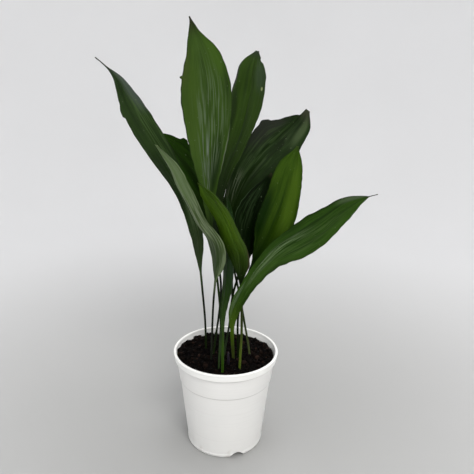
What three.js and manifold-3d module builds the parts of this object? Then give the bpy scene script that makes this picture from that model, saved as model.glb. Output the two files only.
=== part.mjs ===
// A cast iron plant in a white nursery pot: long leaves on stalks that stand in potting soil.
// Millimetres, +Z up. The origin is the middle of the pot's underside, on the surface it rests on.

import * as THREE from "three";
import { mergeVertices } from "three/addons/utils/BufferGeometryUtils.js";
import Module from "manifold-3d";

const wasm = await Module();
wasm.setup();

// Pot
const POT_HEIGHT = 182;
const RIM_RADIUS = 95;
const BEAD_RADIUS = 2.4;
const COLLAR_HEIGHT = 14;
const COLLAR_FOOT_RADIUS = 93;
const COLLAR_SPREAD = 0.9;
const NECK_HEIGHT = 164;
const NECK_RADIUS = 89;
const BAND_HEIGHT = 128;
const BAND_RADIUS = 84;
const BAND_STEP = 1.2;
const BAND_STEP_HEIGHT = 1.2;
const FOOT_CORNER = 5;
const FOOT_RADIUS = 70;
const FOOT_RING_WIDTH = 8.5;
const PAD_RADIUS = 38;
const PAD_SLOPE = 2;
const FLOOR_RAISE = 11;
const FLOOR_CORNER = 3;
const WALL = 1.7;
const POT_SEGMENTS = 40;
const ARC_STEP = 30;

// Openings in the pot's foot
const DRAIN_HOLES = 8;
const DRAIN_RADIUS = 4.5;
const DRAIN_CIRCLE = 50;
const DRAIN_SEGMENTS = 10;
const FOOT_NOTCHES = 3;
const FIRST_NOTCH_ANGLE = -70;
const NOTCH_WIDTH = 30;
const NOTCH_HEIGHT = 10;
const NOTCH_OVERRUN = 2;
const NOTCH_SEGMENTS = 8;

// Soil
const SOIL_LEVEL = 168.5;
const SOIL_RINGS = 9;
const HEAP_HEIGHT = 2.5;
const HEAP_DIRECTION = 2.6;
const CLOD_HEIGHT = 1.2;
const CLOD_SIZE = 5;
const CLEARANCE = 0.3;

// Leaves
const BURIED = 28;
const STALK_DEPTH = 1.5;
const RIB_HALF_WIDTH = 2;
const RIB_COLUMN_LIMIT = 0.45;
const MARGIN_COLUMN = 0.75;
const TIP_HALF_WIDTH = 0.7;
const BLADE_EDGE = 0.8;
const RIB_AT_BASE = 2.4;
const RIB_AT_TIP = 0.9;
const OPENS_BY = 0.16;
const RIPPLES = 22;
const SOIL_STATIONS = [0, BURIED, BURIED + 14];
const STALK_STATIONS = 5;
const BLADE_STATIONS = 18;

const FRONT = new THREE.Vector3(0, -1, 0);

// A new leaf, still rolled up
const SHOOT_PLACE = [5, -35];
const SHOOT_HEIGHT = 26;
const SHOOT_RADIUS = 2.8;
const SHOOT_BURIED = 20;
const SHOOT_SEGMENTS = 10;

const WHITE_PLASTIC = { color: 0xe6e6e2, roughness: 0.42, metalness: 0 };
const POTTING_SOIL = { color: 0x1c130e, roughness: 0.97, metalness: 0 };
const FRESH_GREEN = { color: 0x2c5a1c, roughness: 0.4, metalness: 0 };
const DEEP_GREEN = { color: 0x1a3a1c, roughness: 0.38, metalness: 0 };
const PALE_GREEN = { color: 0x50663f, roughness: 0.5, metalness: 0 };
const SHOOT_PURPLE = { color: 0x2b1c33, roughness: 0.5, metalness: 0 };

// Each leaf: where its stalk leaves the soil, and points along its midrib up to the tip. bladeFrom is
// the share of that line where the stalk ends. Lists run in equal steps from there to the tip:
// halfWidths of the blade, skew by which the right half is wider and the left one narrower, and turn
// of the upper side away from the front, in degrees. A last half width below zero ends the blade a
// little early, and a thin dried tip runs on from there. stalkFoot is the stalk's half width at its
// lower end. fold and curl raise the margins, in degrees, and ripple is the height of their waves.
const LEAVES = [
  {
    name: "leaf_left_arching",
    look: DEEP_GREEN,
    root: [-37, 16],
    midrib: [[-39, 16, 230], [-43, 15, 280], [-47, 14, 325], [-54, 9, 398], [-71, 6, 457], [-101, 2, 515],
      [-139, -2, 576], [-163, -3, 621], [-175, -4, 648], [-191, -4, 667], [-210, -6, 683]],
    stalkFoot: 1.8,
    bladeFrom: 0.31,
    halfWidths: [2, 6.5, 12.5, 15, 16, 18, 20, 22.5, 26.5, 28.5, 29, 27, 21.5, 12.5, 2.6, 1.2],
    skew: [-0.08, -0.12, -0.04, 0],
    turn: [40, 52, 55, 50],
    fold: 7,
    curl: 6,
    ripple: 1.5,
  },
  {
    name: "leaf_pale_underside",
    look: PALE_GREEN,
    root: [-25, -20],
    midrib: [[-22, -27, 277], [-18, -36, 332], [-15, -44, 366], [-20, -54, 399], [-40, -67, 433],
      [-55, -82, 466], [-67, -97, 496], [-77, -112, 525], [-98, -134, 563]],
    stalkFoot: 1.8,
    bladeFrom: 0.4,
    halfWidths: [1.9, 16.5, 26, 23, 20, 22, 22, 17, 3],
    skew: [0.15, 0.15, 0.02, 0, 0],
    turn: [130, 125, 122],
    fold: 10,
    curl: 0,
    ripple: 1,
  },
  {
    name: "leaf_rear_left",
    look: DEEP_GREEN,
    root: [44, -5],
    midrib: [[33, 12, 229], [18, 27, 300], [0, 40, 362], [-22, 49, 413], [-52, 57, 475],
      [-86, 63, 522], [-120, 66, 552], [-148, 66, 557]],
    stalkFoot: 1.8,
    bladeFrom: 0.42,
    halfWidths: [1.9, 9, 21, 30, 34.5, 34, 29, 15.3, 1],
    skew: [0, 0, 0, -0.02, -0.07, -0.13, -0.09, -0.045, 0],
    turn: [0, 0, 10],
    fold: 8,
    curl: 6,
    ripple: 1.5,
  },
  {
    name: "leaf_tall_centre",
    look: FRESH_GREEN,
    root: [-11, -44],
    midrib: [[-9, -38, 256], [-15, -30, 321], [-25, -20, 386], [-31, -15, 450], [-33, -11, 519],
      [-34, -8, 602], [-38, -8, 660], [-51, -13, 713], [-62, -18, 743]],
    stalkFoot: 1.8,
    bladeFrom: 0.42,
    halfWidths: [2, 4.1, 7, 10.5, 15.7, 22, 28, 33, 37, 39.9, 41, 38.2, 32.4, 22.3, 9.4, 1],
    skew: [0, 0, 0, 0, 0, 0, 0, 0, -0.01, -0.02, -0.03, -0.02, 0, 0.06, -0.17, 0],
    turn: [5, 0, 0],
    fold: 7,
    curl: 8,
    ripple: 1,
  },
  {
    name: "leaf_upright_rear",
    look: FRESH_GREEN,
    root: [-23, -2],
    midrib: [[-12, 4, 265], [-11, 6, 307], [-21, 12, 380], [-19, 18, 450], [-8, 26, 501], [10, 36, 546],
      [25, 46, 592], [34, 54, 638], [37, 60, 674], [45, 66, 702]],
    stalkFoot: 1.8,
    bladeFrom: 0.44,
    halfWidths: [2, 5.1, 8.5, 11.1, 13.8, 16.5, 19.1, 22, 25, 28, 30.5, 33.2, 33.8, 31, 22, 3.5],
    skew: [0, 0, 0, 0, 0, 0, -0.02, -0.02, -0.01, 0.01, 0.04, 0.01, -0.01, 0.08, 0, -0.1],
    turn: [-20, -35, -35],
    fold: 8,
    curl: 6,
    ripple: 1.5,
  },
  {
    name: "leaf_broad_right",
    look: DEEP_GREEN,
    root: [13, 4],
    midrib: [[12, 10, 239], [9, 15, 301], [6, 22, 374], [5, 28, 414], [12, 34, 453],
      [30, 44, 495], [58, 60, 532], [90, 78, 560], [116, 92, 584], [138, 104, 607]],
    stalkFoot: 1.8,
    bladeFrom: 0.44,
    halfWidths: [2, 7, 12, 17, 24.5, 32.5, 37.5, 41.5, 43, 31.6, 20.6, 3.2],
    skew: [-0.3, -0.3, -0.3, -0.15, 0, 0.1, 0.14, 0.08, 0.07, 0.21, 0.43, 0.95],
    turn: [0, -10, -10],
    fold: 8,
    curl: 6,
    ripple: 2,
  },
  {
    name: "leaf_bright_right",
    look: FRESH_GREEN,
    root: [23, -17],
    midrib: [[21, -16, 254], [30, -16, 308], [48, -19, 365], [65, -21, 397], [79, -24, 432],
      [91, -27, 470], [99, -29, 508], [110, -26, 554]],
    stalkFoot: 1.8,
    bladeFrom: 0.49,
    halfWidths: [2, 12, 26, 31.5, 32, 29.3, 26.3, 19.2, 2],
    skew: [0.35, 0.26, 0.14, 0.06, 0.05, 0.03, -0.02, -0.06, 0],
    turn: [-10, -25, -30],
    fold: 8,
    curl: 6,
    ripple: 1,
  },
  {
    name: "leaf_low_right",
    look: FRESH_GREEN,
    root: [14, -16],
    midrib: [[11, -30, 234], [15, -40, 268], [24, -51, 298], [38, -62, 331], [61, -74, 369],
      [86, -84, 398], [113, -93, 419], [140, -102, 440], [165, -110, 466], [183, -117, 482],
      [201, -121, 492], [217, -124, 498]],
    stalkFoot: 2.1,
    bladeFrom: 0.2,
    halfWidths: [3.3, 6, 9.8, 11.2, 11.6, 13, 14.5, 17.5, 21.5, 25, 26.5, 25, 20, 16, 6, -4],
    skew: [-0.1, -0.25, -0.26, -0.21, -0.12, -0.05, 0, 0, 0.05, 0.1, 0.03, -0.05, 0, 0, 0, 0],
    turn: [0, -20, -20, -20],
    fold: 12,
    curl: 4,
    ripple: 2,
  },
  {
    name: "leaf_front_bent",
    look: FRESH_GREEN,
    root: [25, -45],
    midrib: [[27, -40, 235], [26, -33, 285], [24, -39, 325], [21, -54, 376], [9, -66, 412],
      [-4, -78, 448], [-21, -94, 479], [-35, -106, 499], [-42, -114, 507]],
    stalkFoot: 2,
    bladeFrom: 0.45,
    halfWidths: [2.4, 10, 23, 28, 25, 21, 18, 14, 1],
    skew: [0, 0.05, 0.1, 0, 0],
    turn: [-40, -45, -40],
    fold: 8,
    curl: 4,
    ripple: 1,
  },
  {
    name: "leaf_dark_middle",
    look: DEEP_GREEN,
    root: [-3, -5],
    midrib: [[6, -6, 236], [10, -6, 284], [20, -4, 327], [31, -1, 370], [34, 2, 415],
      [50, 8, 460], [72, 18, 504]],
    stalkFoot: 1.8,
    bladeFrom: 0.49,
    halfWidths: [1.9, 9, 18, 25, 24.2, 16.1, 2.4],
    skew: [0, 0, 0, 0, 0.01, 0.13, 0.4],
    turn: [0, -15, -15],
    fold: 8,
    curl: 6,
    ripple: 1,
  },
  {
    name: "leaf_narrow_inner",
    look: PALE_GREEN,
    root: [-3.5, -60],
    midrib: [[-4, -57, 238], [-5.5, -51, 272], [-1, -40, 314], [1, -25, 372], [3, -20, 420],
      [-2, -18, 476]],
    stalkFoot: 2.3,
    bladeFrom: 0.3,
    halfWidths: [3, 11, 17.5, 17, 13, 1],
    skew: [0, 0],
    turn: [50, 60, 60],
    fold: 12,
    curl: 0,
    ripple: 0.5,
  },
];

// Meshes and solids

const MERGE_DISTANCE = 1e-4;

function closedGeometry(positions, triangles) {
  const geometry = new THREE.BufferGeometry();
  geometry.setAttribute("position", new THREE.Float32BufferAttribute(positions, 3));
  geometry.setIndex(triangles);
  return geometry;
}

function toSolid(geometry) {
  const bare = geometry.clone();
  bare.deleteAttribute("normal");
  bare.deleteAttribute("uv");
  const merged = mergeVertices(bare, MERGE_DISTANCE);
  return new wasm.Manifold(new wasm.Mesh({
    numProp: 3,
    vertProperties: new Float32Array(merged.attributes.position.array),
    triVerts: new Uint32Array(merged.index.array),
  }));
}

function toGeometry(solid) {
  const { vertProperties, triVerts } = solid.getMesh();
  return closedGeometry(Array.from(vertProperties), Array.from(triVerts));
}

function cut(geometry, cutters) {
  let solid = toSolid(geometry);
  for (const cutter of cutters) {
    solid = solid.subtract(toSolid(cutter));
  }
  return toGeometry(solid);
}

function lathe(profile, segments) {
  const points = profile.map(([radius, height]) => new THREE.Vector2(radius, height));
  return new THREE.LatheGeometry(points, segments).rotateX(Math.PI / 2);
}

function finish(name, geometry, look) {
  const shaded = geometry.index ? geometry.toNonIndexed() : geometry;
  shaded.computeVertexNormals();
  const mesh = new THREE.Mesh(shaded, new THREE.MeshStandardMaterial(look));
  mesh.name = name;
  return mesh;
}

// Value at a share of the way along a list of evenly spaced values, on a smooth curve through them
function along(values, share) {
  const points = values.map((value, index) => new THREE.Vector2(index, value));
  return new THREE.SplineCurve(points).getPoint(THREE.MathUtils.clamp(share, 0, 1)).y;
}

// The inside of the pot, each point a radius and a height: its floor, and its wall up to the rim
const FLOOR_TOP = FLOOR_RAISE + WALL;
const RIM_INNER_RADIUS = RIM_RADIUS - 2 * BEAD_RADIUS;
const FLOOR_POINTS = [
  [PAD_RADIUS - PAD_SLOPE, WALL],
  [PAD_RADIUS, FLOOR_TOP],
  [FOOT_RADIUS - WALL - FLOOR_CORNER, FLOOR_TOP],
];
const WALL_POINTS = [
  [FOOT_RADIUS - WALL, FLOOR_TOP + FLOOR_CORNER],
  [BAND_RADIUS - BAND_STEP - WALL, BAND_HEIGHT],
  [NECK_RADIUS - WALL, NECK_HEIGHT],
  [RIM_INNER_RADIUS, POT_HEIGHT - 2 * BEAD_RADIUS],
];

// Points on an arc of a profile, a step of degrees apart, with 0 pointing outward and 90 upward
function arc(radius, height, size, fromDegrees, toDegrees) {
  const points = [];
  for (let degrees = fromDegrees; degrees <= toDegrees; degrees += ARC_STEP) {
    const turn = THREE.MathUtils.degToRad(degrees);
    points.push([radius + size * Math.cos(turn), height + size * Math.sin(turn)]);
  }
  return points;
}

// The pot's outline runs under the foot, up the outside, over the rim and down the inside. The rim's
// collar is turned down outside the wall and stands off it.
function makePot() {
  const collarFoot = POT_HEIGHT - COLLAR_HEIGHT;
  const collarTop = POT_HEIGHT - 2 * BEAD_RADIUS;
  const underside = [
    [0, 0],
    [PAD_RADIUS, 0],
    [PAD_RADIUS + PAD_SLOPE, FLOOR_RAISE],
    [FOOT_RADIUS - FOOT_RING_WIDTH, FLOOR_RAISE],
    [FOOT_RADIUS - FOOT_RING_WIDTH, 0],
  ];
  const outside = [
    [BAND_RADIUS - BAND_STEP, BAND_HEIGHT - BAND_STEP_HEIGHT / 2],
    [BAND_RADIUS, BAND_HEIGHT + BAND_STEP_HEIGHT / 2],
    [NECK_RADIUS, NECK_HEIGHT],
    [RIM_INNER_RADIUS + WALL / 2, collarTop],
    [COLLAR_FOOT_RADIUS - WALL / 2, collarTop],
    [COLLAR_FOOT_RADIUS - WALL, collarFoot],
    [COLLAR_FOOT_RADIUS, collarFoot],
    [COLLAR_FOOT_RADIUS + COLLAR_SPREAD, collarTop],
  ];
  const profile = [
    ...underside,
    ...arc(FOOT_RADIUS - FOOT_CORNER, FOOT_CORNER, FOOT_CORNER, -90, 0),
    ...outside,
    ...arc(RIM_RADIUS - BEAD_RADIUS, POT_HEIGHT - BEAD_RADIUS, BEAD_RADIUS, 0, 180),
    ...[...FLOOR_POINTS, ...WALL_POINTS].reverse(),
    [0, WALL],
  ];
  return cut(lathe(profile, POT_SEGMENTS), [...drainCutters(), ...notchCutters()]);
}

function drainCutters() {
  const cutters = [];
  for (let index = 0; index < DRAIN_HOLES; index += 1) {
    const turn = (index * 2 * Math.PI) / DRAIN_HOLES;
    const cutter = new THREE.CylinderGeometry(DRAIN_RADIUS, DRAIN_RADIUS, 3 * WALL, DRAIN_SEGMENTS);
    cutter.rotateX(Math.PI / 2);
    cutter.translate(DRAIN_CIRCLE * Math.cos(turn), DRAIN_CIRCLE * Math.sin(turn), FLOOR_RAISE + WALL / 2);
    cutters.push(cutter);
  }
  return cutters;
}

// Low arches through the foot ring that let water run out from under the pot
function notchCutters() {
  const arch = new THREE.Shape();
  arch.moveTo(-NOTCH_WIDTH / 2, -NOTCH_OVERRUN);
  arch.lineTo(NOTCH_WIDTH / 2, -NOTCH_OVERRUN);
  arch.lineTo(NOTCH_WIDTH / 2, 0);
  arch.quadraticCurveTo(0, 2 * NOTCH_HEIGHT, -NOTCH_WIDTH / 2, 0);
  const cutters = [];
  for (let index = 0; index < FOOT_NOTCHES; index += 1) {
    const turn = FIRST_NOTCH_ANGLE + (index * 360) / FOOT_NOTCHES;
    const cutter = new THREE.ExtrudeGeometry(arch, {
      depth: FOOT_RING_WIDTH + 2 * NOTCH_OVERRUN,
      bevelEnabled: false,
      curveSegments: NOTCH_SEGMENTS,
    });
    cutter.rotateX(Math.PI / 2);
    cutter.translate(0, -(FOOT_RADIUS - FOOT_RING_WIDTH - NOTCH_OVERRUN), 0);
    cutter.rotateZ(THREE.MathUtils.degToRad(turn + 90));
    cutters.push(cutter);
  }
  return cutters;
}

// Height of the soil, heaped towards one side of the wall and crumbled all over
function soilHeight(x, y) {
  const direction = Math.atan2(y, x);
  const outward = Math.hypot(x, y) / RIM_RADIUS;
  const heap = outward * (Math.cos(direction - HEAP_DIRECTION) + Math.cos(2 * direction));
  const alongX = x / CLOD_SIZE;
  const alongY = y / CLOD_SIZE;
  const clods = Math.sin(alongX + Math.sin(alongY / 2)) + Math.sin(alongY - Math.sin(alongX / 2));
  return SOIL_LEVEL + HEAP_HEIGHT * heap + CLOD_HEIGHT * clods;
}

// The pot's filling: its floor and wall follow the pot's inside, and a crumbled surface closes it
function makeSoil(holes) {
  const buried = [
    ...FLOOR_POINTS.map(([radius, height]) => [radius - CLEARANCE, height + CLEARANCE]),
    ...WALL_POINTS.slice(0, -1).map(([radius, height]) => [radius - CLEARANCE, height]),
  ];
  const [[neckRadius, neckHeight], [rimRadius, rimHeight]] = WALL_POINTS.slice(-2);
  const wallSlope = (rimRadius - neckRadius) / (rimHeight - neckHeight);
  const rings = buried.length + SOIL_RINGS;
  const positions = [];
  const triangles = [];

  for (let spoke = 0; spoke < POT_SEGMENTS; spoke += 1) {
    const turn = (spoke * 2 * Math.PI) / POT_SEGMENTS;
    const [towardsX, towardsY] = [Math.cos(turn), Math.sin(turn)];
    const edgeHeight = soilHeight(rimRadius * towardsX, rimRadius * towardsY);
    const edgeRadius = neckRadius + wallSlope * (edgeHeight - neckHeight) - CLEARANCE;
    const column = [...buried];
    for (let ring = SOIL_RINGS; ring > 0; ring -= 1) {
      const radius = (edgeRadius * ring) / SOIL_RINGS;
      column.push([radius, soilHeight(radius * towardsX, radius * towardsY)]);
    }
    for (const [radius, height] of column) {
      positions.push(radius * towardsX, radius * towardsY, height);
    }
  }
  const bottom = POT_SEGMENTS * rings;
  const top = bottom + 1;
  positions.push(0, 0, buried[0][1]);
  positions.push(0, 0, soilHeight(0, 0));

  for (let spoke = 0; spoke < POT_SEGMENTS; spoke += 1) {
    const here = spoke * rings;
    const next = ((spoke + 1) % POT_SEGMENTS) * rings;
    triangles.push(bottom, next, here);
    for (let ring = 0; ring < rings - 1; ring += 1) {
      triangles.push(here + ring, next + ring, next + ring + 1);
      triangles.push(here + ring, next + ring + 1, here + ring + 1);
    }
    triangles.push(here + rings - 1, next + rings - 1, top);
  }
  return cut(closedGeometry(positions, triangles), holes);
}

// A leaf's midrib as a curve, from the buried end of the stalk to the tip
function midribCurve(leaf) {
  const [x, y] = leaf.root;
  const points = [[x, y, SOIL_LEVEL - BURIED], [x, y, SOIL_LEVEL], ...leaf.midrib];
  return new THREE.CatmullRomCurve3(points.map((point) => new THREE.Vector3(...point)));
}

// Directions at a share of the curve: across the leaf, and out of its upper side
function leafDirections(leaf, curve, share, bladeShare) {
  const ahead = curve.getTangentAt(share);
  const across = new THREE.Vector3().crossVectors(ahead, FRONT).normalize();
  across.applyAxisAngle(ahead, THREE.MathUtils.degToRad(along(leaf.turn, bladeShare)));
  const up = new THREE.Vector3().crossVectors(across, ahead);
  return { across, up };
}

// The upper and under points of one cross section, from the left margin to the right one. The stalk
// is deep and narrow, and opens into a thin blade with a raised rib. grow makes the section larger.
function leafSection(leaf, curve, share, grow) {
  const { lerp, smoothstep, degToRad } = THREE.MathUtils;
  const bladeShare = Math.max(0, (share - leaf.bladeFrom) / (1 - leaf.bladeFrom));
  const openness = smoothstep(bladeShare, 0, OPENS_BY);
  const stalkHalf = lerp(leaf.stalkFoot, leaf.halfWidths[0], Math.min(1, share / leaf.bladeFrom));
  const bladeHalf = Math.max(TIP_HALF_WIDTH, along(leaf.halfWidths, bladeShare));
  const halfWidth = bladeShare > 0 ? bladeHalf : stalkHalf;
  const skew = along(leaf.skew, bladeShare);
  const ribHalf = Math.min(halfWidth, lerp(stalkHalf, RIB_HALF_WIDTH, openness));
  const ribColumn = Math.min(RIB_COLUMN_LIMIT, ribHalf / halfWidth);
  const depth = lerp(STALK_DEPTH * stalkHalf, lerp(RIB_AT_BASE, RIB_AT_TIP, bladeShare), openness);
  const ripple = leaf.ripple * openness * (1 - bladeShare);
  const centre = curve.getPointAt(share);
  const { across, up } = leafDirections(leaf, curve, share, bladeShare);
  const upper = [];
  const under = [];

  for (const column of [-1, -MARGIN_COLUMN, -ribColumn, 0, ribColumn, MARGIN_COLUMN, 1]) {
    const side = Math.sign(column);
    const out = Math.abs(column);
    const lopsided = out > ribColumn ? 1 + side * skew : 1;
    const distance = out * halfWidth * lopsided;
    const bend = degToRad(openness * (leaf.fold + (leaf.curl * out) / 2));
    const wave = ripple * out ** 2 * Math.sin(side + RIPPLES * bladeShare);
    const belly = Math.sqrt(Math.max(0, 1 - (distance / ribHalf) ** 2));
    const thickness = BLADE_EDGE + (depth - BLADE_EDGE) * belly;
    const sideways = side * (distance + grow * out) * Math.cos(bend);
    const upwards = distance * Math.sin(bend) + wave;
    const point = centre.clone().addScaledVector(across, sideways);
    upper.push(point.clone().addScaledVector(up, upwards + grow));
    under.push(point.clone().addScaledVector(up, upwards - thickness - grow));
  }
  return { upper, under };
}

// A closed solid through a row of cross sections, with the same diagonals on both faces
function skin(sections) {
  const wide = sections[0].upper.length;
  const positions = [];
  const triangles = [];
  for (const { upper, under } of sections) {
    for (const point of [...upper, ...under]) {
      positions.push(point.x, point.y, point.z);
    }
  }
  const top = (row, column) => row * 2 * wide + column;
  const low = (row, column) => top(row, column) + wide;
  const right = wide - 1;
  const end = sections.length - 1;

  for (let row = 0; row < end; row += 1) {
    for (let column = 0; column < right; column += 1) {
      triangles.push(top(row, column), top(row, column + 1), top(row + 1, column + 1));
      triangles.push(top(row, column), top(row + 1, column + 1), top(row + 1, column));
      triangles.push(low(row, column), low(row + 1, column + 1), low(row, column + 1));
      triangles.push(low(row, column), low(row + 1, column), low(row + 1, column + 1));
    }
    triangles.push(top(row, 0), top(row + 1, 0), low(row + 1, 0));
    triangles.push(top(row, 0), low(row + 1, 0), low(row, 0));
    triangles.push(top(row, right), low(row + 1, right), top(row + 1, right));
    triangles.push(top(row, right), low(row, right), low(row + 1, right));
  }
  for (let column = 0; column < right; column += 1) {
    triangles.push(top(0, column), low(0, column), low(0, column + 1));
    triangles.push(top(0, column), low(0, column + 1), top(0, column + 1));
    triangles.push(top(end, column), low(end, column + 1), low(end, column));
    triangles.push(top(end, column), top(end, column + 1), low(end, column + 1));
  }
  return closedGeometry(positions, triangles);
}

// Shares of the curve at which a leaf has its cross sections, the first few of them in the soil
function leafShares(leaf, curve) {
  const shares = SOIL_STATIONS.map((distance) => distance / curve.getLength());
  const above = shares.at(-1);
  for (let index = 1; index < STALK_STATIONS; index += 1) {
    shares.push(THREE.MathUtils.lerp(above, leaf.bladeFrom, index / STALK_STATIONS));
  }
  for (let index = 0; index <= BLADE_STATIONS; index += 1) {
    shares.push(THREE.MathUtils.lerp(leaf.bladeFrom, 1, index / BLADE_STATIONS));
  }
  return shares;
}

function makeLeaf(leaf) {
  const curve = midribCurve(leaf);
  return skin(leafShares(leaf, curve).map((share) => leafSection(leaf, curve, share, 0)));
}

// The plain hole that a stalk stands in: the stalk's own lower end, a little larger all round
function stalkHole(leaf) {
  const curve = midribCurve(leaf);
  const shares = leafShares(leaf, curve).slice(0, SOIL_STATIONS.length);
  const sections = shares.map((share) => leafSection(leaf, curve, share, CLEARANCE));
  for (const point of [...sections[0].upper, ...sections[0].under]) {
    point.z -= CLEARANCE;
  }
  return skin(sections);
}

// A rolled new leaf that has just come up, as a slim pointed shoot
function makeShoot(grow) {
  const [x, y] = SHOOT_PLACE;
  const rounded = arc(0, 0, 1, 0, 60).map(([radius, height]) => [
    SHOOT_RADIUS * radius + grow,
    SHOOT_HEIGHT * height,
  ]);
  const outline = [
    [0, -SHOOT_BURIED - grow],
    [SHOOT_RADIUS + grow, -SHOOT_BURIED - grow],
    ...rounded,
    [0, SHOOT_HEIGHT + grow],
  ];
  return lathe(outline, SHOOT_SEGMENTS).translate(x, y, SOIL_LEVEL);
}

const plant = new THREE.Group();
const holes = [...LEAVES.map(stalkHole), makeShoot(CLEARANCE)];
plant.add(finish("pot", makePot(), WHITE_PLASTIC));
plant.add(finish("soil", makeSoil(holes), POTTING_SOIL));
for (const leaf of LEAVES) {
  plant.add(finish(leaf.name, makeLeaf(leaf), leaf.look));
}
plant.add(finish("new_shoot", makeShoot(0), SHOOT_PURPLE));

export default plant;
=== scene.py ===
"""A cast iron plant in a white nursery pot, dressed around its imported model. Metres, +Z up."""

import math
import random

import bmesh
import bpy
import numpy as np
from mathutils import Matrix, Vector, noise


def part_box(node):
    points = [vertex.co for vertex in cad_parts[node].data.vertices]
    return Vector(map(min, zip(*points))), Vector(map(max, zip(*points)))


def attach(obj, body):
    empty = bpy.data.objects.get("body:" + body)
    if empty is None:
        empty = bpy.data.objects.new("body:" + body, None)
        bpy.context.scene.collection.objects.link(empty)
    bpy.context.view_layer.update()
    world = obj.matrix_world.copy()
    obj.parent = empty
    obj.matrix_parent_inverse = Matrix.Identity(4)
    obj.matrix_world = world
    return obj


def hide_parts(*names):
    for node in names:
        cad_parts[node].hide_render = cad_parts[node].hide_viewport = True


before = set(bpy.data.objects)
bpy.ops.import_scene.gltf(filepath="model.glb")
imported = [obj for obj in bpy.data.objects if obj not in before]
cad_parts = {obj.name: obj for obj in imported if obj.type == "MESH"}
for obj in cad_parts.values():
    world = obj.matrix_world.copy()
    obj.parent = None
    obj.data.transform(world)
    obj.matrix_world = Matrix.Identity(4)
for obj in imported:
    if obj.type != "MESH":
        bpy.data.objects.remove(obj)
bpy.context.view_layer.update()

# Pot, with its height and rim taken from the frame
POT_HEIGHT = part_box("pot")[1].z
RIM_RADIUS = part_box("pot")[1].x
RIM_WIDTH = 0.0048
RIM_SQUARENESS = 2.6
COLLAR_FOOT_HEIGHT = POT_HEIGHT - 0.014
COLLAR_FOOT_RADIUS = 0.093
COLLAR_SPREAD = 0.0009
NECK_HEIGHT = 0.164
NECK_RADIUS = 0.089
BAND_HEIGHT = 0.128
BAND_RADIUS = 0.084
BAND_STEP = 0.0012
BAND_HALF_RISE = 0.0006
FOOT_CORNER = 0.005
FOOT_RADIUS = 0.070
FOOT_RING_WIDTH = 0.0085
FOOT_TAPER = 0.0005
PAD_RADIUS = 0.038
PAD_SLOPE = 0.002
FLOOR_RAISE = 0.011
FLOOR_CORNER = 0.003
WALL = 0.0017
POT_SEGMENTS = 200
DRAIN_HOLES = 8
DRAIN_RADIUS = 0.0045
DRAIN_SEGMENTS = 28
DRAIN_CIRCLE = 0.050
FOOT_NOTCHES = 3
FIRST_NOTCH_ANGLE = -70
NOTCH_WIDTH = 0.030
NOTCH_HEIGHT = 0.010
NOTCH_STEPS = 20
CUT_OVERRUN = 0.002
SHARP_FROM_DEGREES = 38
POT_WHITES = (233, 233, 231), (240, 239, 236)
# Painted light: the collar's face is painted whiter than the wall below it.
COLLAR_PAINTED_LIGHT = (250, 250, 247)
COLLAR_LIGHT_REACH = 0.002
RING_GREY = (206, 205, 202)
RING_STRETCH = (0.02, 0.02, 1)
# Painted shade: a grey line under the collar and along the band's step.
PAINTED_SHADE_GREY = (142, 140, 134)
SHADE_REACH_UNDER_COLLAR = 0.0035
SHADE_EDGE = 0.0008
DIRT_BROWN = (150, 138, 120)
DIRT_HEIGHT = 0.03
SCUFF_STRETCH = (1, 1, 7)

# A fine groove round the wall near its foot: each corner's height, depth in the wall and rounding
FOOT_GROOVE = [(0.0072, 0, 0.0003), (0.0076, 0.0005, 0.0002), (0.0084, 0.0005, 0.0004)]

# Soil
SOIL_LEVEL = 0.1685
SOIL_RINGS = 76
SOIL_SPOKES = 180
SOIL_GAP = 0.0004
HEAP_HEIGHT = 0.0025
HEAP_DIRECTION = 2.6
HILLOCK_HEIGHT = 0.0012
HILLOCK_SIZE = 0.005
CRUMBS_PER_METRE = 95
CRUMB_FRACTAL = 0.7, 2.1, 4
CRUMB_HEIGHT = 0.0026
CRUMBS_DEPTH = 0.003
GRAINS_PER_METRE = 520
GRAIN_HEIGHT = 0.0006
EDGE_GAPS = 14
EDGE_GAPS_DEPTH = 0.0012
SOIL_SEED = 11
SOIL_SHADE = 0.2
CLOD_SIZE_POWER = 2.2
CLOD_MARGIN = 0.7
CLOD_SEEDS = 50
CLOD_LUMPS = 1.4
CLOD_LUMP_HEIGHT = 0.42
CLOD_STRETCH = (0.7, 1.2), (0.7, 1.2), (0.5, 0.8)
CLOD_RAISED = -0.1, 0.5
SLIVERS = 60
SLIVER_HALF_LENGTHS = 0.002, 0.006
SLIVER_HALF_WIDTH = 0.0005
SLIVER_HALF_HEIGHT = 0.0004
SLIVER_LEAN = 0.3
SLIVER_SHADE = 1.6
PEAT_BLACKS = (2, 2, 2), (12, 8, 6)
PEAT_PATCH = (5, 3, 4)
CLOD_BROWN = (38, 25, 18)
CLOD_DRY = (64, 46, 38)

# Kinds of clods: how many, how finely rounded, their smallest and largest half size, and how far out
# they start, as a share of the soil's radius
CLODS = [
    (620, 2, 0.0020, 0.0056, 0),
    (1500, 1, 0.0006, 0.0018, 0),
    (210, 2, 0.0022, 0.0052, 0.92),
]

# Leaves. PLEATS, SWELLS, THREADS and BANDS count across half a blade, and their LENGTHS along it.
# OPENS_BY is a share of the blade, and how a torn place rises and ends are shares of that place.
BURIED = 0.028
STALK_DEPTH = 1.5
STALK_DOME = 0.3
STALK_UNEVENNESS = 0.1
RIB_HALF_WIDTH = 0.002
RIB_BORDER = 0.3
RIB_GROOVE_DEPTH = 0.0007
TIP_HALF_WIDTH = 0.0007
BLADE_EDGE = 0.0005
BLADE_MIDDLE = 0.0008
RIB_AT_BASE = 0.0024
RIB_AT_TIP = 0.0009
OPENS_BY = 0.16
RIPPLES = 22
STALK_STATIONS = 30
BLADE_STATIONS = 220
SIDE_COLUMNS = 20
COLUMN_CROWDING = 1.25
PLEATS = 13
PLEAT_LENGTHS = 1.5
PLEAT_HEIGHT = 0.0003
SWELLS = 2.2
SWELL_LENGTHS = 5
SWELL_HEIGHT = 0.0006
SWELL_SEED = 50
UNEVEN_HALF_WIDTH = 0.015
THREADS = 30.0
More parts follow.
